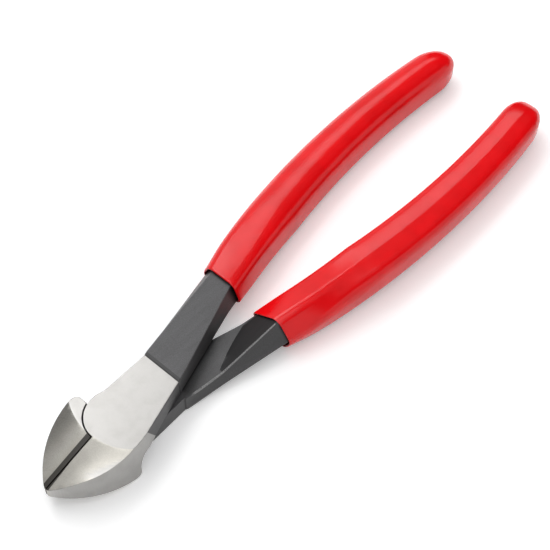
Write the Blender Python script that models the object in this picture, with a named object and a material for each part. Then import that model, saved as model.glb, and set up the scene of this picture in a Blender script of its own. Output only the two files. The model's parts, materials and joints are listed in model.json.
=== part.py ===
# Diagonal cutting pliers, closed. Metres, +X to the nose, +Z up, modelled about the pivot axis.
import math

import bmesh
import bpy

for old in list(bpy.data.objects):
    bpy.data.objects.remove(old, do_unlink=True)

# Head
HEAD_HALF = 0.006
LAP_GAP = 0.0003
EDGE_GAP = 0.0003
SEAT_GAP = 0.00035
BOSS_RADIUS = 0.0076
JAW_CENTRE_X = 0.004
TOP_JAW_Y = 0.0101
UNDER_JAW_Y = 0.0113
NOSE_HUB_X = 0.0221
NOSE_ROUND = 0.0016
PLATE_CORNER_X = -0.0021
SHOULDER_X = 0.002
SHOULDER_RUN = 0.0024
SHOULDER_DROP = 0.0046
SHOULDER_ROUND = 0.0015
NECK_EDGE_Y = -0.0069

# Blade faces
UPPER_CREASE_X = 0.0074
UPPER_CREASE_RADIUS = 0.0145
UNDER_CREASE_X = 0.0078
UNDER_CREASE_RADIUS = 0.022
BLADE_SLOPE = 0.26
BLADE_CURVE = 0.9
STRIP_HALF = 0.00085
UPPER_RIM_LIFT = 0.36
UNDER_RIM_LIFT = 0.04
RIM_RUN = 0.006
RIM_PASS = 1.3

# Rivet
RIVET_RADIUS = 0.0032
RIVET_GAP = 0.00015

# Handle
STEP_X = -0.0175
STEP_RISE = 0.0004
STEP_LIP = 0.0001
STEP_RUN = 0.0008
STEP_OVERLAP = 0.001
PLATE_INSET = 0.0002
HANDLE_Y = -0.0008
HANDLE_SPLAY = math.radians(15.2)
BOW_START_X = -0.048
BOW_RADIUS = 0.259
NECK_HALF = 0.0059
EDGE_ROUND = 0.0003
FLOOR_GAP = 0.0004
RIDGE_START_X = -0.0295
RECESS_END_X = -0.0435
NECK_SIDE_Z = 0.0055
UNDER_LIP = 0.00025
RECESS_SHARE_FRONT = 0.1
RECESS_SHARE_BACK = 0.9
TANG_SHARE = 0.15
TANG_START_X = -0.0475
TANG_START_HALF = 0.0056
TANG_START_FLAT = 0.0033
TANG_START_Z = 0.0046
TANG_SIDE_Z = 0.0012
TANG_RIDGE_OFF = 0.002
TANG_END_HALF = 0.0042
TANG_END_Z = 0.004
TANG_ROUND = 0.0036
TANG_FULL_X = -0.078
TANG_END_X = -0.1475

# Grip
UPPER_MOUTH_X = -0.048
LOWER_MOUTH_X = -0.0478
GRIP_END_X = -0.1547
GRIP_LIP = 0.0007
GRIP_WALL = 0.0015
GRIP_LIP_RUN = 0.009
GRIP_END_ROUND = 0.0095
GRIP_END_TURN = math.radians(80)
GRIP_FIT = 0.0002
BORE_LEAD = 0.001

# Facet counts
CORNER_STEPS = 4
BOSS_STEPS = 80
JAW_STEPS = 36
BLADE_STEPS = 26
BLADE_CROWD = 1.5
NECK_STEPS = 8
TANG_STEPS = 14
GRIP_STEPS = 30
END_STEPS = 7
CORNER_SHARE = 0.48
SHARP = math.radians(9.5)
OVERCUT = 0.0005
REACH = 0.03


def object_of(name, bm):
    bmesh.ops.triangulate(bm, faces=bm.faces)
    bmesh.ops.recalc_face_normals(bm, faces=bm.faces)
    mesh = bpy.data.meshes.new(name)
    bm.to_mesh(mesh)
    bm.free()
    obj = bpy.data.objects.new(name, mesh)
    bpy.context.scene.collection.objects.link(obj)
    return obj


def loft(name, rings):
    bm = bmesh.new()
    rows = [[bm.verts.new(p) for p in ring] for ring in rings]
    count = len(rows[0])
    for a, b in zip(rows, rows[1:]):
        for i in range(count):
            j = (i + 1) % count
            bm.faces.new((a[i], a[j], b[j], b[i]))
    bm.faces.new(rows[0])
    bm.faces.new(rows[-1])
    return object_of(name, bm)


def prism(name, outline, low, high):
    return loft(name, [[(x, y, z) for x, y in outline] for z in (low, high)])


def spread(first, last, steps):
    return [first + (last - first) * i / steps for i in range(steps + 1)]


def arc(x, y, radius, start, end, steps):
    return [(x + radius * math.cos(a), y + radius * math.sin(a)) for a in spread(start, end, steps)]


def combine(body, tool, operation):
    modifier = body.modifiers.new(tool.name, "BOOLEAN")
    modifier.operation = operation
    modifier.object = tool
    modifier.solver = "EXACT"
    bpy.context.view_layer.update()
    graph = bpy.context.evaluated_depsgraph_get()
    mesh = bpy.data.meshes.new_from_object(body.evaluated_get(graph))
    body.modifiers.clear()
    body.data = mesh
    bpy.data.objects.remove(tool, do_unlink=True)


def rounded(corners, radii):
    # A corner of radius 0 stays one point, every other becomes an arc
    points = []
    for i, (corner, radius) in enumerate(zip(corners, radii)):
        if radius == 0:
            points.append(corner)
            continue
        before = corners[i - 1]
        after = corners[(i + 1) % len(corners)]
        to_before = math.atan2(before[1] - corner[1], before[0] - corner[0])
        to_after = math.atan2(after[1] - corner[1], after[0] - corner[0])
        half = (to_before - to_after) % (2 * math.pi) / 2
        room = CORNER_SHARE * min(math.dist(corner, before), math.dist(corner, after))
        size = min(radius, room * math.tan(half))
        hub = size / math.sin(half)
        x = corner[0] + hub * math.cos(to_after + half)
        y = corner[1] + hub * math.sin(to_after + half)
        first = to_after + 2 * half + math.pi / 2
        points += arc(x, y, size, first, first + math.pi - 2 * half, CORNER_STEPS)
    return points


def blend(x, x0, x1, v0, v1):
    return v0 + (v1 - v0) * min(1.0, max(0.0, (x - x0) / (x1 - x0)))


def centre_line(x):
    # Straight behind the step, then one long bow; gives y and the splay there
    if x >= BOW_START_X:
        return HANDLE_Y - (STEP_X - x) * math.tan(HANDLE_SPLAY), HANDLE_SPLAY
    start_y = HANDLE_Y - (STEP_X - BOW_START_X) * math.tan(HANDLE_SPLAY)
    hub_x = BOW_START_X - BOW_RADIUS * math.sin(HANDLE_SPLAY)
    hub_y = start_y + BOW_RADIUS * math.cos(HANDLE_SPLAY)
    angle = math.asin((x - hub_x) / BOW_RADIUS)
    return hub_y - BOW_RADIUS * math.cos(angle), angle


def handle_ring(x, grow, shrink):
    # Flat top and leaning sides; the underside is a ridge that dies into the lap recess towards the head
    middle, splay = centre_line(x)
    behind = min(x, TANG_START_X)
    ahead = max(x, TANG_START_X)
    half = blend(behind, TANG_START_X, TANG_END_X, TANG_START_HALF, TANG_END_HALF)
    half += blend(ahead, TANG_START_X, STEP_X, 0.0, NECK_HALF - TANG_START_HALF)
    flat = half - blend(ahead, TANG_START_X, STEP_X, TANG_START_HALF - TANG_START_FLAT, 0.0)
    flat += blend(behind, TANG_START_X, TANG_FULL_X, 0.0, TANG_START_HALF - TANG_START_FLAT)
    deep = blend(behind, TANG_START_X, TANG_END_X, TANG_START_Z, TANG_END_Z)
    top = deep + blend(ahead, TANG_START_X, STEP_X, 0.0, HEAD_HALF + STEP_RISE - TANG_START_Z)
    top += grow - blend(x, STEP_X - STEP_RUN, STEP_X, 0.0, STEP_RISE - STEP_LIP)
    radius = blend(x, TANG_START_X, TANG_FULL_X, EDGE_ROUND, TANG_ROUND) + grow
    floor = LAP_GAP / 2 + FLOOR_GAP
    full = UNDER_LIP - deep - grow
    plan = 1.0 / math.cos(splay)
    inner = middle + (half + grow) * plan
    outer = middle - (half + grow) * plan
    top_inner = middle + (flat + grow) * plan
    top_outer = middle - (flat + grow) * plan
    ridge = blend(ahead, TANG_START_X, STEP_X, middle - TANG_RIDGE_OFF, outer)
    ridge += blend(behind, TANG_START_X, TANG_FULL_X, 0.0, TANG_RIDGE_OFF)
    low_ridge = blend(x, RIDGE_START_X, TANG_START_X, floor, -deep - grow)
    low_inner = blend(x, RECESS_END_X, TANG_FULL_X, floor, full)
    side = blend(ahead, TANG_START_X, STEP_X, TANG_SIDE_Z, NECK_SIDE_Z)
    side += blend(behind, TANG_START_X, TANG_FULL_X, 0.0, full - TANG_SIDE_Z)
    share = blend(ahead, RIDGE_START_X, RECESS_END_X, RECESS_SHARE_FRONT, RECESS_SHARE_BACK)
    share -= blend(x, RECESS_END_X, TANG_FULL_X, 0.0, RECESS_SHARE_BACK - TANG_SHARE)
    step = ridge + (inner - ridge) * share
    rise = blend(x, RECESS_END_X, TANG_START_X, 1.0, share)
    low_step = low_ridge + (low_inner - low_ridge) * rise
    corners = [(top_inner, top), (top_outer, top), (outer, side)]
    corners += [(ridge, low_ridge), (step, low_step), (inner, low_inner)]
    ring = rounded(corners, [radius, radius, radius, radius, 0, radius])
    return [(x, middle + (y - middle) * shrink, z * shrink) for y, z in ring]


def jaw_radius(widest):
    # The arc that is widest at JAW_CENTRE_X and runs into the nose round
    run = NOSE_HUB_X - JAW_CENTRE_X
    return (run**2 + widest**2 - NOSE_ROUND**2) / (2 * (widest - NOSE_ROUND))


def jaw_y(x, widest):
    radius = jaw_radius(widest)
    return widest - radius + math.sqrt(radius**2 - (x - JAW_CENTRE_X) ** 2)


def head_ring(z, widest):
    # Cutting edge, nose, jaw, plate, boss
    radius = jaw_radius(widest)
    hub_y = widest - radius
    nose_turn = math.atan2(-hub_y, NOSE_HUB_X - JAW_CENTRE_X)
    jaw_turn = math.acos((PLATE_CORNER_X - JAW_CENTRE_X) / radius)
    neck_turn = -math.pi - math.asin(NECK_EDGE_Y / BOSS_RADIUS)
    wide = NECK_HALF / math.cos(HANDLE_SPLAY) - PLATE_INSET
    ring = arc(NOSE_HUB_X, 0.0, NOSE_ROUND, math.asin(edge_y / NOSE_ROUND), nose_turn, END_STEPS)
    ring += arc(JAW_CENTRE_X, hub_y, radius, nose_turn, jaw_turn, JAW_STEPS)[1:]
    ring.append((STEP_X, HANDLE_Y + wide))
    ring.append((STEP_X - STEP_OVERLAP, HANDLE_Y + wide - STEP_OVERLAP))
    ring.append((STEP_X - STEP_OVERLAP, HANDLE_Y - wide + STEP_OVERLAP))
    ring.append((STEP_X, HANDLE_Y - wide))
    ring += arc(0.0, 0.0, BOSS_RADIUS, neck_turn, math.asin(edge_y / BOSS_RADIUS), BOSS_STEPS // 3)
    return [(x, y, z) for x, y in ring]


def blade_cutter(side, crease_x, crease_radius, widest, rim_lift):
    # A block whose near face is the blade face. It falls away from the crease, less at the rim
    # than at the cutting strip
    bm = bmesh.new()
    ys = [-STRIP_HALF] + spread(STRIP_HALF, widest + OVERCUT, BLADE_STEPS)
    first = REACH / BLADE_STEPS**BLADE_CROWD
    aways = [-first] + [first * (i + 1) ** BLADE_CROWD for i in range(BLADE_STEPS)]
    rows = []
    for away in aways:
        row = []
        for y in ys:
            x = crease_x - crease_radius + math.sqrt(crease_radius**2 - y**2) + away
            wide = max(STRIP_HALF, jaw_y(min(x, nose_x), widest) - STRIP_HALF)
            part = min(RIM_PASS, max(0.0, y - STRIP_HALF) / wide)
            lift = rim_lift * min(1.0, wide / RIM_RUN) * part**2
            fall = (BLADE_SLOPE * away + BLADE_CURVE * away * abs(away)) * (1.0 - lift)
            row.append(bm.verts.new((x, y, side * (HEAD_HALF - fall))))
        rows.append(row)
    ends = [(rows[0][0].co.x, ys[0]), (rows[0][-1].co.x, ys[-1])]
    ends += [(rows[-1][-1].co.x, ys[-1]), (rows[-1][0].co.x, ys[0])]
    far = [bm.verts.new((x, y, side * REACH)) for x, y in ends]
    for a, b in zip(rows, rows[1:]):
        for i in range(len(ys) - 1):
            bm.faces.new((a[i], a[i + 1], b[i + 1], b[i]))
    bm.faces.new(rows[0] + [far[1], far[0]])
    bm.faces.new(rows[-1] + [far[2], far[3]])
    bm.faces.new([row[0] for row in rows] + [far[3], far[0]])
    bm.faces.new([row[-1] for row in rows] + [far[2], far[1]])
    bm.faces.new(far)
    return object_of("blade", bm)


def grip(name, mouth_x):
    # A blind sleeve over the tang, thin at its lip and round at its end
    rings = []
    straight_end_x = GRIP_END_X + GRIP_END_ROUND
    for x in spread(mouth_x, straight_end_x, GRIP_STEPS):
        lip = math.sin(blend(x, mouth_x, mouth_x - GRIP_LIP_RUN, 0.0, math.pi / 2))
        rings.append(handle_ring(x, GRIP_LIP + (GRIP_WALL - GRIP_LIP) * lip, 1.0))
    for turn in spread(0.0, GRIP_END_TURN, END_STEPS)[1:]:
        x = straight_end_x - GRIP_END_ROUND * math.sin(turn)
        rings.append(handle_ring(x, GRIP_WALL, math.cos(turn)))
    sleeve = loft(name, rings)
    bore_x = mouth_x + BORE_LEAD
    bore = [handle_ring(x, GRIP_FIT, 1.0) for x in [bore_x] + [x for x in stations if x < bore_x]]
    bore.append([(x - GRIP_FIT, y, z) for x, y, z in bore[-1]])
    combine(sleeve, loft("bore", bore), "DIFFERENCE")
    return sleeve


def finish(obj, colour, roughness, metallic):
    material = bpy.data.materials.new(obj.name)
    material.use_nodes = True
    shader = material.node_tree.nodes["Principled BSDF"]
    shader.inputs["Base Color"].default_value = (*colour, 1.0)
    shader.inputs["Roughness"].default_value = roughness
    shader.inputs["Metallic"].default_value = metallic
    obj.data.materials.clear()
    obj.data.materials.append(material)
    obj.data.shade_smooth()
    obj.data.set_sharp_from_angle(angle=SHARP)


# The jaw's outer side leans in towards the top, so the head is drawn once below and once above
edge_y = EDGE_GAP / 2
nose_x = NOSE_HUB_X + NOSE_ROUND
upper_half = loft("upper_half", [head_ring(-HEAD_HALF, UNDER_JAW_Y), head_ring(HEAD_HALF, TOP_JAW_Y)])

# Lap recess under the boss and behind the shoulder
lap_z = LAP_GAP / 2
below_z = -HEAD_HALF - REACH
seat = arc(0.0, 0.0, BOSS_RADIUS + SEAT_GAP, 0.0, 2 * math.pi, BOSS_STEPS)[1:]
combine(upper_half, prism("seat", seat, below_z, lap_z), "DIFFERENCE")
cove = [(SHOULDER_X - SHOULDER_RUN, lap_z)]
for turn in spread(math.pi / 2, 0.0, END_STEPS)[1:]:
    x = SHOULDER_X - SHOULDER_RUN * (1 - math.cos(turn))
    cove.append((x, lap_z - SHOULDER_DROP * (1 - math.sin(turn))))
cove += [(SHOULDER_X, below_z), (-REACH, below_z), (-REACH, lap_z)]
shoulder = loft("shoulder", [[(x, y, z) for x, z in cove] for y in (-REACH, REACH)])
combine(upper_half, shoulder, "DIFFERENCE")
corner_y = jaw_y(SHOULDER_X, UNDER_JAW_Y) - SHOULDER_ROUND
corner = arc(SHOULDER_ROUND, corner_y, SHOULDER_ROUND, math.pi / 2, math.pi, END_STEPS)
corner += [(-SHOULDER_ROUND, corner_y), (-SHOULDER_ROUND, REACH), (SHOULDER_ROUND, REACH)]
levels = cove[: END_STEPS + 2]
corner_rings = [[(x + dx, y, z) for x, y in corner] for dx, z in levels]
combine(upper_half, loft("corner", corner_rings), "DIFFERENCE")

# Blade faces above and below
top_blade = blade_cutter(1.0, UPPER_CREASE_X, UPPER_CREASE_RADIUS, TOP_JAW_Y, UPPER_RIM_LIFT)
under_blade = blade_cutter(-1.0, UNDER_CREASE_X, UNDER_CREASE_RADIUS, UNDER_JAW_Y, UNDER_RIM_LIFT)
combine(upper_half, top_blade, "DIFFERENCE")
combine(upper_half, under_blade, "DIFFERENCE")

# Handle and tang
stations = [STEP_X] + spread(STEP_X - STEP_RUN, RIDGE_START_X, NECK_STEPS)
stations += spread(RIDGE_START_X, RECESS_END_X, NECK_STEPS)[1:]
stations += spread(RECESS_END_X, TANG_START_X, NECK_STEPS // 2)[1:]
stations += spread(TANG_START_X, TANG_END_X, TANG_STEPS)[1:]
combine(upper_half, loft("tang", [handle_ring(x, 0.0, 1.0) for x in stations]), "UNION")

# Rivet and its hole
hole = arc(0.0, 0.0, RIVET_RADIUS + RIVET_GAP, 0.0, 2 * math.pi, BOSS_STEPS)[1:]
combine(upper_half, prism("hole", hole, -REACH, REACH), "DIFFERENCE")
pin = arc(0.0, 0.0, RIVET_RADIUS, 0.0, 2 * math.pi, BOSS_STEPS)[1:]
pivot_rivet = prism("pivot_rivet", pin, -HEAD_HALF, HEAD_HALF)

# Dipped grips
upper_grip = grip("upper_grip", UPPER_MOUTH_X)
lower_grip = grip("lower_grip", LOWER_MOUTH_X)

# The lower half is the same forging turned over about the long axis
lower_half = bpy.data.objects.new("lower_half", upper_half.data.copy())
bpy.context.scene.collection.objects.link(lower_half)
lower_half.rotation_euler = (math.pi, 0.0, 0.0)
lower_grip.rotation_euler = (math.pi, 0.0, 0.0)

finish(upper_half, (0.62, 0.61, 0.58), 0.34, 1.0)
finish(lower_half, (0.62, 0.61, 0.58), 0.34, 1.0)
finish(pivot_rivet, (0.64, 0.63, 0.6), 0.3, 1.0)
finish(upper_grip, (0.72, 0.012, 0.018), 0.22, 0.0)
finish(lower_grip, (0.72, 0.012, 0.018), 0.22, 0.0)

# Stand the whole tool on z = 0, centred in plan
pieces = [upper_half, lower_half, pivot_rivet, upper_grip, lower_grip]
bpy.context.view_layer.update()
points = [piece.matrix_world @ vertex.co for piece in pieces for vertex in piece.data.vertices]
middle_x = (min(p.x for p in points) + max(p.x for p in points)) / 2
middle_y = (min(p.y for p in points) + max(p.y for p in points)) / 2
bottom_z = min(p.z for p in points)
for piece in pieces:
    piece.location = (-middle_x, -middle_y, -bottom_z)
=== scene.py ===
import json
import math
from types import SimpleNamespace

import bmesh
import bpy
from mathutils import Matrix, Vector


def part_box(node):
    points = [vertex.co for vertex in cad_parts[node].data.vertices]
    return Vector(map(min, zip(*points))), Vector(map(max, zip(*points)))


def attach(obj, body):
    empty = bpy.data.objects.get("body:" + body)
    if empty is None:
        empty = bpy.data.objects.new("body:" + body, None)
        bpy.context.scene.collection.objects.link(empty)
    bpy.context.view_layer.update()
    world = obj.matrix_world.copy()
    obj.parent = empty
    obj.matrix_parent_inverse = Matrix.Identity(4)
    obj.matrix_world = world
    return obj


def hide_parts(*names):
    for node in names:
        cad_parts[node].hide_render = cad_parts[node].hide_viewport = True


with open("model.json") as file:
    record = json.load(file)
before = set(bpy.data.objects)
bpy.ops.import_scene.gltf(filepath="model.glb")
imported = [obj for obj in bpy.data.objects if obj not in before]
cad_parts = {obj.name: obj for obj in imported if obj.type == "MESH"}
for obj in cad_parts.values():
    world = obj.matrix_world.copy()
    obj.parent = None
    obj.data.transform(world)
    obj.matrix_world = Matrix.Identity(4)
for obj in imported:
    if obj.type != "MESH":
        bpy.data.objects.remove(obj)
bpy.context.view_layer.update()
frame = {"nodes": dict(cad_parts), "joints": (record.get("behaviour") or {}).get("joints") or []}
pivot = Vector(frame["joints"][0]["pos_m"])
mm = 0.001
print("frame loaded, pivot at", tuple(round(v, 5) for v in pivot))


# a socket that can be used in plain expressions
class Wire:
    def __init__(self, finish, socket):
        self.finish = finish
        self.socket = socket

    def do(self, operation, *values):
        return self.finish.node("ShaderNodeMath", {"operation": operation}, dict(enumerate(values)))

    def __add__(self, other):
        return self.do("ADD", self, other)

    def __radd__(self, other):
        return self.do("ADD", other, self)

    def __sub__(self, other):
        return self.do("SUBTRACT", self, other)

    def __rsub__(self, other):
        return self.do("SUBTRACT", other, self)

    def __mul__(self, other):
        return self.do("MULTIPLY", self, other)

    def __rmul__(self, other):
        return self.do("MULTIPLY", other, self)

    def __abs__(self):
        return self.do("ABSOLUTE", self)

    def least(self, other):
        return self.do("MINIMUM", self, other)

    def most(self, other):
        return self.do("MAXIMUM", self, other)

    # 0 below low, 1 above high, soft between, both counted from base; low above high turns it round
    def ease(self, low, high, base=0.0):
        sockets = {"Value": self, "From Min": base + low, "From Max": base + high}
        return self.finish.node("ShaderNodeMapRange", {"interpolation_type": "SMOOTHSTEP"}, sockets)


class Finish:
    def __init__(self, name):
        self.material = bpy.data.materials.new(name)
        self.material.use_nodes = True
        self.tree = self.material.node_tree
        self.shader = self.tree.nodes["Principled BSDF"]

    # a wire is linked, anything else is the socket's own value
    def join(self, value, socket):
        if isinstance(value, Wire):
            self.tree.links.new(value.socket, socket)
        else:
            socket.default_value = value

    def node(self, kind, settings=None, sockets=None, output=0):
        made = self.tree.nodes.new(kind)
        for key, value in (settings or {}).items():
            setattr(made, key, value)
        for key, value in (sockets or {}).items():
            self.join(value, made.inputs[key])
        return Wire(self, made.outputs[output])

    def feed(self, **values):
        for name, value in values.items():
            self.join(value, self.shader.inputs[name.replace("_", " ")])

    def mix(self, factor, first, second):
        pair = {0: factor, 6: asColour(first), 7: asColour(second)}
        return self.node("ShaderNodeMix", {"data_type": "RGBA"}, pair, 2)

    def noise(self, place, scale=1.0, detail=2.0):
        return self.node("ShaderNodeTexNoise", {}, {"Vector": place, "Scale": scale, "Detail": detail})

    def split(self, vector):
        parts = self.node("ShaderNodeSeparateXYZ", {}, {0: vector})
        return [Wire(self, socket) for socket in parts.socket.node.outputs]

    # a vector or colour times another, or times one number
    def stretch(self, vector, amounts):
        return self.node("ShaderNodeVectorMath", {"operation": "MULTIPLY"}, {0: vector, 1: amounts})

    # 1 in the open, falling towards 0 in corners within reach
    def openness(self, samples, reach):
        kind = "ShaderNodeAmbientOcclusion"
        return self.node(kind, {"samples": samples}, {"Distance": reach * mm}, "AO")

    def bump(self, strength, depth, height, **more):
        sockets = {"Strength": strength, "Distance": depth * mm, "Height": height, **more}
        return self.node("ShaderNodeBump", {}, sockets)


def asColour(value):
    return value if isinstance(value, Wire) else (*value, 1.0)


# millimetres in the forging's own frame, the same for both halves because one is the other turned over
def forgingPlace(finish, side):
    here = finish.node("ShaderNodeTexCoord", output="Object")
    fromPivot = finish.node("ShaderNodeVectorMath", {"operation": "SUBTRACT"}, {0: here, 1: pivot})
    return finish.stretch(fromPivot, (1 / mm, side / mm, side / mm))


# a finished shape as an object of its own
def addPiece(name, shape):
    mesh = bpy.data.meshes.new(name)
    shape.to_mesh(mesh)
    shape.free()
    piece = bpy.data.objects.new(name, mesh)
    bpy.context.scene.collection.objects.link(piece)
    return piece


# smooth over its curves, sharp where faces meet at more than an angle in degrees
def smooth(piece, sharp):
    piece.data.shade_smooth()
    piece.data.set_sharp_from_angle(angle=math.radians(sharp))


# the material, the body the piece rides on and the node it stands for
def fit(piece, material, body, node):
    piece.data.materials.append(material)
    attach(piece, body)
    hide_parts(node)


# the forging's handle, in millimetres in its own frame, for its looks and for the grips on it
handle = {
    "stepX": -17.5,
    "y": -0.8,
    "splay": math.radians(15.2),
    "bowStartX": -48.0,
    "bowRadius": 259.0,
    "tangStartX": -47.5,
    "tangFullX": -78.0,
    "tangEndX": -147.5,
    "startHalf": 5.6,
    "endHalf": 4.2,
    "startFlat": 3.3,
    "startTop": 4.6,
    "endTop": 4.0,
    "edgeRound": 0.3,
    "tangRound": 3.6,
    "sideZ": 1.2,
    "ridgeOff": 2.0,
    "underLip": 0.25,
    "recessEndX": -43.5,
    "floor": 0.55,
    "stepShare": 0.9,
    "tangShare": 0.15,
}


# bare steel of the head, ground in one pass with the rivet's ends
groundLook = {
    "bright": (0.445, 0.437, 0.423),
    "dull": (0.39, 0.38, 0.366),
    "lineStretch": (9.0, 0.5, 2.0),
    "lineShare": 0.4,
    "cloudScale": 0.28,
    "cloudRange": (0.35, 0.75),
    "cloudShare": 0.6,
    "detail": 3.0,
    "rough": 0.34,
    "lineRough": 0.14,
    "lineHeight": 0.6,
    "bump": 0.25,
    "bumpDepth": 0.04,
}


# colour, roughness and grinding lines
def groundTexture(finish, place):
    look = groundLook
    lines = finish.noise(finish.stretch(place, look["lineStretch"]), detail=look["detail"])
    cloud = finish.noise(place, look["cloudScale"], look["detail"])
    dullness = cloud.ease(*look["cloudRange"]) * look["cloudShare"] + lines * look["lineShare"]
    colour = finish.mix(dullness, look["bright"], look["dull"])
    rough = look["rough"] + (lines - 0.5) * look["lineRough"]
    return colour, rough, lines


# forged halves: ground head, black oxide handle, dark cutting strip
# places are millimetres in the forging's own frame, and most pairs say where a mask starts and ends
halfLook = {
    "weld": 0.0005,
    "sharp": 22,
    "flatWeight": 80,
    "bevel": 0.22,
    "bevelSamples": 6,
    "rivetRim": 3.8,
    "rimBlur": (0.15, 0.0),

    "stepX": handle["stepX"],
    "stepBlur": (-0.03, 0.03),
    "plateTop": 6.0,
    "plateBlur": (-0.15, -0.05),
    "plateFacing": (0.6, 0.8),
    "sideX": -2.1,
    "sideLean": 0.465,
    "sideBlur": (-0.08, 0.08),
    "sideFacing": (0.1, 0.3),
    # painted shade: the ground jaw side made darker than the plate by its facing
    "jawSidePaintedShade": 0.86,
    "jawSidePaintedShadeFacing": (0.5, 0.8),
    "noseX": 2.0,
    "noseBlur": (-0.05, 0.15),
    "bossRadius": 7.6,
    "seatBlur": (0.6, 0.4),
    "seatDepth": (0.4, 0.2),
    "seatFacing": (0.6, 0.4),
    "bandRear": (-0.95, -0.75),
    "bandFront": (0.25, 0.1),
    "bandFacing": (0.3, 0.6),

    "strip": (0.027, 0.022, 0.016),
    "stripRearX": 7.5,
    "stripRearBlur": (-0.05, 0.1),
    "stripRun": 16.3,
    "stripTop": (-0.17, 0.7),  # its border at the rear end and at the tip
    "stripUnder": (1.52, 1.32),
    "stripTurn": (-0.1, 0.1),
    "stripBlur": (-0.04, 0.04),
    "stripFacing": (0.8, 0.6),

    "bladeTint": (1.0, 0.985, 0.93),
    "bladeSlope": (0.99, 0.98),
    "bladeFacing": (0.6, 0.4),
    "bladeWidth": (2.0, 9.5),
    "bladeSpeckle": 0.3,
    # painted light and shade on the blades from the cutting edge to the rim: lighter on the upper
    # half, darker on the lower
    "upperPaintedLight": (0.95, 1.25),  # at the cutting edge and at the rim
    "lowerPaintedShade": (0.86, 0.4),
    "groundSpeckle": 0.14,

    "oxide": (0.092, 0.091, 0.094),
    # dark oxide for the streaks, and painted shade for the sides, the step band and the underside
    "oxideDarkAndShaded": (0.036, 0.035, 0.036),
    # painted shade for the recess facet beside the ridge
    "facetPaintedShade": (0.012, 0.011, 0.012),
    "oxideLeast": 0.7,
    "oxideShadeFacing": (0.2, 0.9),
    "oxideSpeckle": 1.3,
    "oxideRough": 0.42,
    "streakStretch": (0.05, 0.55, 0.55),
    "streakDetail": 3.0,
    "streakRange": (0.3, 0.75),
    "streakRough": 0.16,
    "grainScale": 5.0,

    # painted shade on the handle's own underside, which on the turned-over half is the recess floor
    "underDepth": (1.6, 1.2),
    "underShade": 0.35,
    "ridgeLean": 0.1346,
    "ridgeY": -4.559,
    "ridgeWidth": (0.25, 0.08),
    "ridgeRear": (-47.3, -47.0),
    "ridgeFront": (-19.0, -21.0),
    "innerLean": 0.2717,
    "innerY": 9.915,
    "recessX": (-29.5, handle["recessEndX"]),
    "recessShare": (0.1, 0.9),  # how far the facet reaches from the ridge to the inner side
    "facetStart": (0.1, -0.1),
    "facetInner": (0.0, 0.1),
    "facetOuter": (-0.05, 0.1),
    "facetRough": 0.3,

    # partly rubbed wear, partly painted highlight on edges and the ridge
    "wearAndHighlight": (0.4, 0.395, 0.39),
    "wearRadius": 0.5,
    "wearTurn": (0.99, 0.95),
    "wearStart": (-1.5, -3.0),
    "wearDepth": (0.0, 1.0),
    "wearAmount": 0.4,
    "wearGrain": (0.25, 0.6),
    "wearShare": 0.8,

    # painted shade from ambient occlusion in the corners behind the step
    "paintedShadeReach": 12.0,
    "paintedShadeSamples": 8,
    "paintedShadeRange": (0.2, 0.95),
    "paintedShadeStart": (-0.5, -2.0),
    "paintedShadeOxide": 0.8,
    "paintedShadeGround": 0.3,
}


# the shaded point in the forging's own frame: its place, its smooth facing and its face's true facing
def forgingSpot(finish, side):
    place = forgingPlace(finish, side)
    turn = (1, side, side)
    facing = finish.node("ShaderNodeTexCoord", output="Normal")
    flat = finish.node("ShaderNodeNewGeometry", output="True Normal")
    flatHere = finish.node("ShaderNodeVectorTransform", {"vector_type": "NORMAL"}, {0: flat})
    x, y, z = finish.split(place)
    nx, ny, nz = finish.split(finish.stretch(facing, turn))
    flatY, flatZ = finish.split(finish.stretch(flatHere, turn))[1:]
    level = finish.stretch(place, (1, 1, 0))
    reach = finish.node("ShaderNodeVectorMath", {"operation": "LENGTH"}, {0: level}, "Value")
    return SimpleNamespace(place=place, x=x, y=y, z=z, nx=nx, ny=ny, nz=nz,
                           flat=flat, flatY=flatY, flatZ=flatZ, reach=reach)


# plate, jaw side and nose are ground, the seat round the other boss and the band at the step are not;
# the band is painted shade along the step
def groundAreas(at):
    look = halfLook
    stepX = look["stepX"]
    plate = at.x.ease(*look["stepBlur"], stepX) * at.z.ease(*look["plateBlur"], look["plateTop"])
    plate = plate * at.nz.ease(*look["plateFacing"])
    leaning = at.x + (look["plateTop"] - at.z) * look["sideLean"]
    jawSide = leaning.ease(*look["sideBlur"], look["sideX"]) * at.ny.ease(*look["sideFacing"])
    nose = at.x.ease(*look["noseBlur"], look["noseX"])
    seat = at.reach.ease(*look["seatBlur"], look["bossRadius"]) * at.z.ease(*look["seatDepth"])
    seat = seat * abs(at.nz).ease(*look["seatFacing"])
    # painted shade: a dark band on the up-facing faces along the step
    band = at.x.ease(*look["bandRear"], stepX) * at.x.ease(*look["bandFront"], stepX)
    band = band * at.nz.ease(*look["bandFacing"])
    ground = plate.most(jawSide).most(nose) * (1 - seat) * (1 - band)
    return ground, jawSide, nose, band


# dark strip along the cutting edge, between its rear end and the tip
def cuttingStrip(at):
    look = halfLook
    run = (at.x - look["stripRearX"]) * (1 / look["stripRun"])
    (topRear, topTip), (underRear, underTip) = look["stripTop"], look["stripUnder"]
    top = topRear + run * (topTip - topRear)
    under = underRear + run * (underTip - underRear)
    edge = under + at.nz.ease(*look["stripTurn"]) * (top - under)
    strip = (edge - at.y).ease(*look["stripBlur"]) * at.nx.ease(*look["stripFacing"])
    return strip * at.x.ease(*look["stripRearBlur"], look["stripRearX"])


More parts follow.
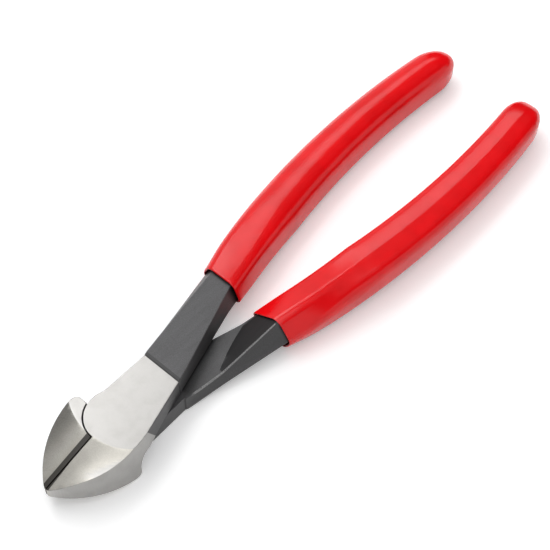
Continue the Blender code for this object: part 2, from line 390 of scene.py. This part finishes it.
# underside of the handle: its facet, painted dark as shade, and the ridge beside it, partly rubbed
# bright and partly a painted highlight
def undersideMarks(at):
    look = halfLook
    under = at.z.ease(*look["underDepth"])
    ridgeY = at.x * look["ridgeLean"] + look["ridgeY"]
    innerY = at.x * look["innerLean"] + look["innerY"]
    (startX, endX), (small, large) = look["recessX"], look["recessShare"]
    recess = (at.x - startX) * ((large - small) / (endX - startX)) + small
    recess = recess.least(large).most(small)
    shadedFacet = (ridgeY + (innerY - ridgeY) * recess - at.y).ease(*look["facetInner"])
    shadedFacet = shadedFacet * (at.y - ridgeY).ease(*look["facetOuter"])
    shadedFacet = shadedFacet * under * at.x.ease(*look["facetStart"], startX)
    # partly rubbed wear, partly painted highlight: a bright line along the ridge
    ridge = abs(at.y - ridgeY).ease(*look["ridgeWidth"]) * under
    ridge = ridge * at.x.ease(*look["ridgeRear"]) * at.x.ease(*look["ridgeFront"])
    return under, shadedFacet, ridge


def softCorners(finish, radius):
    samples = {"samples": halfLook["bevelSamples"]}
    return finish.node("ShaderNodeBevel", samples, {"Radius": radius * mm})


# edges of the oxide behind the head, partly rubbed bright by wear and partly a painted highlight
def wornAndHighlitEdges(finish, at):
    look = halfLook
    corners = {0: softCorners(finish, look["wearRadius"]), 1: at.flat}
    turned = finish.node("ShaderNodeVectorMath", {"operation": "DOT_PRODUCT"}, corners, "Value")
    wornAndHighlit = turned.ease(*look["wearTurn"]) * at.x.ease(*look["wearStart"], look["stepX"])
    return wornAndHighlit * at.z.ease(*look["wearDepth"]) * look["wearAmount"]


# softened edges, but not round the rivet, where the joint is ground away
def softNormal(finish, at):
    plain = finish.node("ShaderNodeNewGeometry", output="Normal")
    rim = at.reach.ease(*halfLook["rimBlur"], halfLook["rivetRim"])
    normals = {0: rim, 4: softCorners(finish, halfLook["bevel"]), 5: plain}
    return finish.node("ShaderNodeMix", {"data_type": "VECTOR"}, normals, 1)


def halfFinish(name, side, bladePaintedLight):
    look = halfLook
    finish = Finish(name)
    at = forgingSpot(finish, side)
    ground, jawSide, nose, band = groundAreas(at)
    under, shadedFacet, ridge = undersideMarks(at)
    strip = cuttingStrip(at)
    groundColour, groundRough, lines = groundTexture(finish, at.place)
    streakPlace = finish.stretch(at.place, look["streakStretch"])
    streak = finish.noise(streakPlace, detail=look["streakDetail"])
    grain = finish.noise(at.place, look["grainScale"])

    # the blades are warmer, and carry painted light and shade from edge to rim, lighter on the upper
    # half and darker on the lower
    blade = nose * abs(at.flatZ).ease(*look["bladeSlope"]) * at.flatY.ease(*look["bladeFacing"])
    paintedLight = bladePaintedLight[0] + at.y.ease(*look["bladeWidth"]) * (bladePaintedLight[1] - bladePaintedLight[0])
    bladeSpeckleAndPaintedLight = (grain - 0.5) * look["bladeSpeckle"] + paintedLight - 1
    # painted shade: the jaw side darker by its facing
    sidePaintedShade = jawSide * at.ny.ease(*look["jawSidePaintedShadeFacing"]) * (look["jawSidePaintedShade"] - 1)
    groundColour = finish.mix(blade, groundColour, finish.stretch(groundColour, look["bladeTint"]))
    groundColour = finish.stretch(groundColour, 1 + bladeSpeckleAndPaintedLight * blade)
    groundColour = finish.stretch(groundColour, 1 + (grain - 0.5) * look["groundSpeckle"])
    groundColour = finish.stretch(groundColour, 1 + sidePaintedShade)

    # oxide, streaked along the handle, with painted shade on its sides, and edges that are partly
    # rubbed bright and partly painted highlight
    streaked = look["oxideLeast"] + streak.ease(*look["streakRange"]) * (1 - look["oxideLeast"])
    level = abs(at.nz).ease(*look["oxideShadeFacing"])
    rubbedAndHighlit = wornAndHighlitEdges(finish, at).most(ridge) * grain.ease(*look["wearGrain"]) * look["wearShare"]
    # painted shade: side faces darker than tops and bottoms by their facing
    oxide = finish.mix(streaked * level, look["oxideDarkAndShaded"], look["oxide"])
    oxide = finish.stretch(oxide, 1 + (grain - 0.5) * look["oxideSpeckle"])
    # painted shade: the band along the step in the darkest oxide
    oxide = finish.mix(band, oxide, look["oxideDarkAndShaded"])
    # painted shade: the own underside, the recess floor on the turned-over half, darkened
    oxide = finish.mix(under * look["underShade"], oxide, look["oxideDarkAndShaded"])
    # painted shade: the recess facet beside the ridge painted nearly black
    oxide = finish.mix(shadedFacet, oxide, look["facetPaintedShade"])
    # partly rubbed wear, partly painted highlight on edges and the ridge
    oxide = finish.mix(rubbedAndHighlit, oxide, look["wearAndHighlight"])

    # painted shade from ambient occlusion in the corners behind the step, weaker on bare steel
    clear = finish.openness(look["paintedShadeSamples"], look["paintedShadeReach"]).ease(*look["paintedShadeRange"])
    hold = look["paintedShadeOxide"] - ground * (look["paintedShadeOxide"] - look["paintedShadeGround"])
    paintedShade = (1 - clear) * hold * at.x.ease(*look["paintedShadeStart"], look["stepX"])
    colour = finish.stretch(finish.mix(ground, oxide, groundColour), 1 - paintedShade)
    colour = finish.mix(strip, colour, look["strip"])

    rough = look["oxideRough"] + (streak - 0.5) * look["streakRough"] + shadedFacet * look["facetRough"]
    rough = rough + ground * (groundRough - rough)
    height = (lines - 0.5) * ground * groundLook["lineHeight"] + (grain - 0.5) * (1 - ground)
    normal = softNormal(finish, at)
    bump = finish.bump(groundLook["bump"], groundLook["bumpDepth"], height, Normal=normal)
    finish.feed(Base_Color=colour, Roughness=rough, Metallic=ground * (1 - strip), Normal=bump)
    return finish.material


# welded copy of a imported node, with its flats kept flat
def dressed(node, name):
    packed = frame["nodes"][node].data
    shape = bmesh.new()
    corners = [shape.verts.new(v.co) for v in packed.vertices]
    for face in packed.polygons:
        shape.faces.new([corners[i] for i in face.vertices])
    bmesh.ops.remove_doubles(shape, verts=shape.verts, dist=halfLook["weld"] * mm)
    piece = addPiece(name, shape)
    smooth(piece, halfLook["sharp"])
    flats = piece.modifiers.new("flats", "WEIGHTED_NORMAL")
    flats.keep_sharp = True
    flats.weight = halfLook["flatWeight"]
    return piece


upperHalf = dressed("upper_half", "upperHalf")
upperSteel = halfFinish("upperHalfSteel", 1, halfLook["upperPaintedLight"])
fit(upperHalf, upperSteel, "upper", "upper_half")
lowerHalf = dressed("lower_half", "lowerHalf")
lowerSteel = halfFinish("lowerHalfSteel", -1, halfLook["lowerPaintedShade"])
fit(lowerHalf, lowerSteel, "lower", "lower_half")
print("forged halves dressed")


# closed skin over a row of rings
def loft(name, rings, sharp):
    shape = bmesh.new()
    rows = [[shape.verts.new(point) for point in ring] for ring in rings]
    count = len(rows[0])
    for a, b in zip(rows, rows[1:]):
        for i in range(count):
            j = (i + 1) % count
            shape.faces.new((a[i], a[j], b[j], b[i]))
    shape.faces.new(rows[0])
    shape.faces.new(rows[-1])
    bmesh.ops.recalc_face_normals(shape, faces=shape.faces)
    piece = addPiece(name, shape)
    smooth(piece, sharp)
    return piece


# rivet, upset into its hole at both ends and ground flush; sizes in millimetres
rivet = {
    "radius": 3.2,
    "endRadius": 3.349,
    "flare": 0.7,
    "steps": 96,
    "sharp": 35,
}


def rivetRing(radius, height):
    turns = [2 * math.pi * i / rivet["steps"] for i in range(rivet["steps"])]
    reach = radius * mm
    return [(pivot.x + reach * math.cos(t), pivot.y + reach * math.sin(t), height) for t in turns]


# the head's own colours and lines
def rivetFinish():
    look = groundLook
    finish = Finish("rivetSteel")
    colour, rough, lines = groundTexture(finish, forgingPlace(finish, 1))
    bump = finish.bump(look["bump"], look["bumpDepth"], (lines - 0.5) * look["lineHeight"])
    finish.feed(Base_Color=colour, Roughness=rough, Metallic=1.0, Normal=bump)
    return finish.material


low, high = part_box("pivot_rivet")
rivetRings = [
    rivetRing(rivet["endRadius"], low.z),
    rivetRing(rivet["radius"], low.z + rivet["flare"] * mm),
    rivetRing(rivet["radius"], high.z - rivet["flare"] * mm),
    rivetRing(rivet["endRadius"], high.z),
]
pivotRivet = loft("pivotRivet", rivetRings, rivet["sharp"])
fit(pivotRivet, rivetFinish(), "upper", "pivot_rivet")
print("rivet upset into its hole")


# dipped grips: the handle's own section, grown by the vinyl, thin at the lip and round at the end
grip = {
    "upperMouthX": -48.0,
    "lowerMouthX": -47.8,
    "endX": -154.7,
    "endRound": 9.5,
    "endTurn": math.radians(84),
    "wall": 1.5,
    "softest": 3.1,
    "lip": 1.1,
    "lipRun": 9.0,
    "lipRound": 0.35,
    "fit": 0.12,
    "flare": 0.55,
    "flareRun": 4.0,
    "softInside": 1.7,
    "cornerRoom": 0.48,
    "cornerSteps": 9,
    "endSteps": 14,
    "steps": 130,
    "lipSteps": 8,
    "insideSteps": 40,
    "sharp": 35,

    "red": (0.88, 0.002, 0.005),
    "redDeep": (0.76, 0.001, 0.003),
    "waveScale": 0.11,
    "waveRange": (0.35, 0.7),
    "waveShare": 0.7,
    "poreScale": 3.2,
    "poreHeight": 0.01,
    "poreRough": 0.05,
    "rough": 0.2,
    "bump": 0.5,
    "bumpDepth": 0.3,
    "shine": 1.46,
    # painted shade from ambient occlusion near corners and the table
    "paintedShadeReach": 8.0,
    "paintedShadeSamples": 8,
    "paintedShadeRange": (0.1, 0.65),
    "paintedShadeDark": 0.35,
}


# from v0 at x0 to v1 at x1, and level beyond them
def share(x, x0, x1, v0, v1):
    return v0 + (v1 - v0) * min(1.0, max(0.0, (x - x0) / (x1 - x0)))


def spread(first, last, steps):
    return [first + (last - first) * i / steps for i in range(steps + 1)]


# the handle's middle and its slope at x: straight to the mouth of the grip, then bowed
def centreLine(x):
    h = handle
    if x >= h["bowStartX"]:
        return h["y"] - (h["stepX"] - x) * math.tan(h["splay"]), h["splay"]
    startY = h["y"] - (h["stepX"] - h["bowStartX"]) * math.tan(h["splay"])
    hubX = h["bowStartX"] - h["bowRadius"] * math.sin(h["splay"])
    hubY = startY + h["bowRadius"] * math.cos(h["splay"])
    angle = math.asin((x - hubX) / h["bowRadius"])
    return hubY - h["bowRadius"] * math.cos(angle), angle


# corners turned into arcs, each no larger than its neighbours leave room for
def rounded(corners, radii):
    points = []
    for i, (corner, radius) in enumerate(zip(corners, radii)):
        if radius == 0:
            points.append(corner)
            continue
        before = corners[i - 1]
        after = corners[(i + 1) % len(corners)]
        toBefore = math.atan2(before[1] - corner[1], before[0] - corner[0])
        toAfter = math.atan2(after[1] - corner[1], after[0] - corner[0])
        half = (toBefore - toAfter) % (2 * math.pi) / 2
        room = grip["cornerRoom"] * min(math.dist(corner, before), math.dist(corner, after))
        size = min(radius, room * math.tan(half))
        hub = size / math.sin(half)
        hubX = corner[0] + hub * math.cos(toAfter + half)
        hubY = corner[1] + hub * math.sin(toAfter + half)
        first = toAfter + 2 * half + math.pi / 2
        for turn in spread(first, first + math.pi - 2 * half, grip["cornerSteps"]):
            points.append((hubX + size * math.cos(turn), hubY + size * math.sin(turn)))
    return points


# the tang's section at x, grown all round, with its corners at least as round as softest
def sleeveRing(x, grow, shrink, side, softest=0.0):
    h = handle
    start, fullX = h["tangStartX"], h["tangFullX"]
    middle, splay = centreLine(x)
    half = share(x, start, h["tangEndX"], h["startHalf"], h["endHalf"])
    flat = half - share(x, start, fullX, h["startHalf"] - h["startFlat"], 0.0)
    deep = share(x, start, h["tangEndX"], h["startTop"], h["endTop"])
    radius = max(softest, share(x, start, fullX, h["edgeRound"], h["tangRound"]) + grow)
    full = h["underLip"] - deep - grow
    wide = (half + grow) / math.cos(splay)
    top = (flat + grow) / math.cos(splay)
    ridge = middle - share(x, start, fullX, h["ridgeOff"], 0.0)
    lowInner = share(x, h["recessEndX"], fullX, h["floor"], full)
    step = share(x, h["recessEndX"], fullX, h["stepShare"], h["tangShare"])
    stepY = ridge + (middle + wide - ridge) * step
    stepZ = (lowInner + deep + grow) * step - deep - grow
    corners = [(middle + top, deep + grow), (middle - top, deep + grow)]
    corners += [(middle - wide, share(x, start, fullX, h["sideZ"], full)), (ridge, -deep - grow)]
    corners += [(stepY, stepZ), (middle + wide, lowInner)]
    ring = rounded(corners, [radius, radius, radius, radius, 0, radius])
    across = [(side * (middle + (y - middle) * shrink), side * z * shrink) for y, z in ring]
    return [(pivot.x + x * mm, pivot.y + y * mm, pivot.z + z * mm) for y, z in across]


def sleeve(name, mouthX, side):
    g = grip
    straightEnd = g["endX"] + g["endRound"]
    lipX = mouthX - g["lipRound"]
    flareX = mouthX - g["flareRun"]
    rings = []
    for turn in spread(g["endTurn"], 0.0, g["endSteps"]):
        x = straightEnd - g["endRound"] * math.sin(turn)
        rings.append(sleeveRing(x, g["wall"], math.cos(turn), side, g["softest"]))
    for x in spread(straightEnd, lipX, g["steps"])[1:]:
        full = math.sin(share(x, mouthX, mouthX - g["lipRun"], 0.0, math.pi / 2))
        wall = g["lip"] + (g["wall"] - g["lip"]) * full
        rings.append(sleeveRing(x, wall, 1.0, side, g["softest"]))
    # the lip turns in over its own round
    for turn in spread(0.0, math.pi, g["lipSteps"])[1:]:
        outside = (1 + math.cos(turn)) / 2
        wall = g["flare"] + (g["lip"] - g["flare"]) * outside
        soft = g["softInside"] + (g["softest"] - g["softInside"]) * outside
        rings.append(sleeveRing(lipX + g["lipRound"] * math.sin(turn), wall, 1.0, side, soft))
    # the inside flares off the tang near the mouth
    for x in spread(lipX, flareX, g["lipSteps"])[1:]:
        flared = share(x, flareX, lipX, 0.0, 1.0) ** 2
        gap = g["fit"] + (g["flare"] - g["fit"]) * flared
        rings.append(sleeveRing(x, gap, 1.0, side, g["softInside"] * flared))
    for x in spread(flareX, handle["tangEndX"], g["insideSteps"])[1:]:
        rings.append(sleeveRing(x, g["fit"], 1.0, side))
    return loft(name, rings, g["sharp"])


# glossy vinyl with a slow wave, fine pores and painted shade from ambient occlusion in corners and
# near the table
def vinylFinish(name, side):
    g = grip
    finish = Finish(name)
    place = forgingPlace(finish, side)
    wave = finish.noise(place, g["waveScale"])
    pore = finish.noise(place, g["poreScale"])
    clear = finish.openness(g["paintedShadeSamples"], g["paintedShadeReach"]).ease(*g["paintedShadeRange"])
    colour = finish.mix(wave.ease(*g["waveRange"]) * g["waveShare"], g["red"], g["redDeep"])
    # painted shade: the red darkened near corners and the table
    colour = finish.stretch(colour, g["paintedShadeDark"] + clear * (1 - g["paintedShadeDark"]))
    rough = g["rough"] + (pore - 0.5) * g["poreRough"]
    bump = finish.bump(g["bump"], g["bumpDepth"], wave + pore * g["poreHeight"])
    finish.feed(Base_Color=colour, Roughness=rough, Normal=bump, IOR=g["shine"], Metallic=0.0)
    return finish.material


upperGrip = sleeve("upperGrip", grip["upperMouthX"], 1)
fit(upperGrip, vinylFinish("upperVinyl", 1), "upper", "upper_grip")
lowerGrip = sleeve("lowerGrip", grip["lowerMouthX"], -1)
fit(lowerGrip, vinylFinish("lowerVinyl", -1), "lower", "lower_grip")
print("grips dipped")


# white paper on a table, in metres
table = {
    "side": 6.0,
    "white": (0.93, 0.93, 0.93),
    "fibre": (0.9, 0.9, 0.9),
    "fibreScale": 900.0,
    "rough": 0.75,
    "glow": (0.28, 0.28, 0.28),
}


# the glow shows to the eye and in reflections, and lights nothing
def tableFinish():
    finish = Finish("tablePaper")
    fibre = finish.noise(finish.node("ShaderNodeTexCoord", output="Object"), table["fibreScale"])
    rays = ("Is Camera Ray", "Is Glossy Ray", "Is Transmission Ray")
    camera, glossy, through = (finish.node("ShaderNodeLightPath", output=ray) for ray in rays)
    glow = finish.mix(camera.most(glossy).most(through), (0, 0, 0), table["glow"])
    paper = finish.mix(fibre, table["white"], table["fibre"])
    finish.feed(Base_Color=paper, Roughness=table["rough"], Specular_IOR_Level=0.0)
    finish.feed(Emission_Color=glow, Emission_Strength=1.0)
    return finish.material


def makeTable():
    half = table["side"] / 2
    shape = bmesh.new()
    edges = ((-half, -half), (half, -half), (half, half), (-half, half))
    shape.faces.new([shape.verts.new((x, y, 0.0)) for x, y in edges])
    floor = addPiece("table", shape)
    floor.data.materials.append(tableFinish())


# lamps in metres: a panel has its long side along x and leans back by its tilt in degrees
# a card has no tilt, faces the work and shows only in reflections
room = (0.04, 0.04, 0.043)
lamps = {
    "window": {"from": (-0.18, -0.509, 0.727), "size": (0.42, 0.377), "watts": 1.42, "tilt": 35.0},
    "strip": {"from": (-0.8, -0.413, 0.786), "size": (0.8, 0.116), "watts": 0.92, "tilt": 27.7},
    "pane": {"from": (0.12, -0.345, 0.855), "size": (0.34, 0.28), "watts": 0.8, "tilt": 36.0},
    "sheet": {"from": (-0.4, -1.1, 0.88), "size": (2.0, 1.76), "watts": 7.2, "tilt": 80.0},
    "wall": {"from": (-0.4, 1.1, 0.36), "size": (2.4, 0.7), "watts": 3.9, "tilt": -80.0},
    "fill": {"from": (0.0, 0.0, 1.5), "size": (2.0, 2.0), "watts": 18.0, "tilt": 0.0, "matt": True},
    "backCard": {"from": (0.62, 0.56, 1.19), "size": (1.2, 1.2), "watts": 5.9},
    "rightCard": {"from": (1.2, -1.2, 0.6), "size": (1.4, 1.0), "watts": 3.5},
    "topCard": {"from": (0.05, 0.0, 1.4), "size": (0.7, 0.7), "watts": 2.3},
}


def makeRoom():
    world = bpy.data.worlds.new("studio")
    bpy.context.scene.world = world
    world.use_nodes = True
    world.node_tree.nodes["Background"].inputs["Color"].default_value = (*room, 1.0)


def makeLamp(name, lamp):
    data = bpy.data.lights.new(name, "AREA")
    data.shape = "RECTANGLE"
    data.size, data.size_y = lamp["size"]
    data.energy = lamp["watts"]
    box = bpy.data.objects.new(name, data)
    bpy.context.scene.collection.objects.link(box)
    box.location = lamp["from"]
    if "tilt" in lamp:
        box.rotation_euler = (math.radians(lamp["tilt"]), 0.0, 0.0)
    else:
        box.rotation_euler = box.location.to_track_quat("Z", "Y").to_euler()
        box.visible_diffuse = False
    box.visible_glossy = not lamp.get("matt", False)  # a matt lamp leaves no reflection


# camera, set by where the pivot falls in the picture
view = {
    "azimuth": math.radians(48.013),
    "elevation": math.radians(55.136),
    "roll": math.radians(-0.233),
    "distance": 348.34,  # millimetres from the pivot
    "focal": 1400.0,  # this and the next three in pixels
    "pivotPixel": (117.6, 425.19),
    "slide": (-1.136, 2.372),
    "side": 550,
    "sensor": 36.0,
    "clip": (0.01, 20.0),  # metres
}


def makeCamera():
    v = view
    az, el, roll = v["azimuth"], v["elevation"], v["roll"]
    back = Vector((math.sin(az) * math.cos(el), math.cos(az) * math.cos(el), math.sin(el)))
    right = Vector((0, 0, 1)).cross(back).normalized()
    up = back.cross(right)
    turnedRight = right * math.cos(roll) + up * math.sin(roll)
    turnedUp = up * math.cos(roll) - right * math.sin(roll)
    middle = v["side"] / 2
    offX, offY = ((pixel - middle) / v["focal"] * v["distance"] for pixel in v["pivotPixel"])
    spot = back * v["distance"] - turnedRight * offX + turnedUp * offY
    data = bpy.data.cameras.new("photoCamera")
    data.sensor_width = v["sensor"]
    data.lens = v["focal"] / v["side"] * v["sensor"]
    data.shift_x = -v["slide"][0] / v["side"]
    data.shift_y = v["slide"][1] / v["side"]
    data.clip_start, data.clip_end = v["clip"]
    camera = bpy.data.objects.new("photoCamera", data)
    bpy.context.scene.collection.objects.link(camera)
    turn = Matrix((turnedRight, turnedUp, back)).transposed()
    camera.matrix_world = Matrix.Translation(pivot + spot * mm) @ turn.to_4x4()
    bpy.context.scene.camera = camera


makeTable()
makeRoom()
for name, lamp in lamps.items():
    makeLamp(name, lamp)
makeCamera()
bpy.context.scene.view_settings.view_transform = "Standard"
print("table, light and camera set")
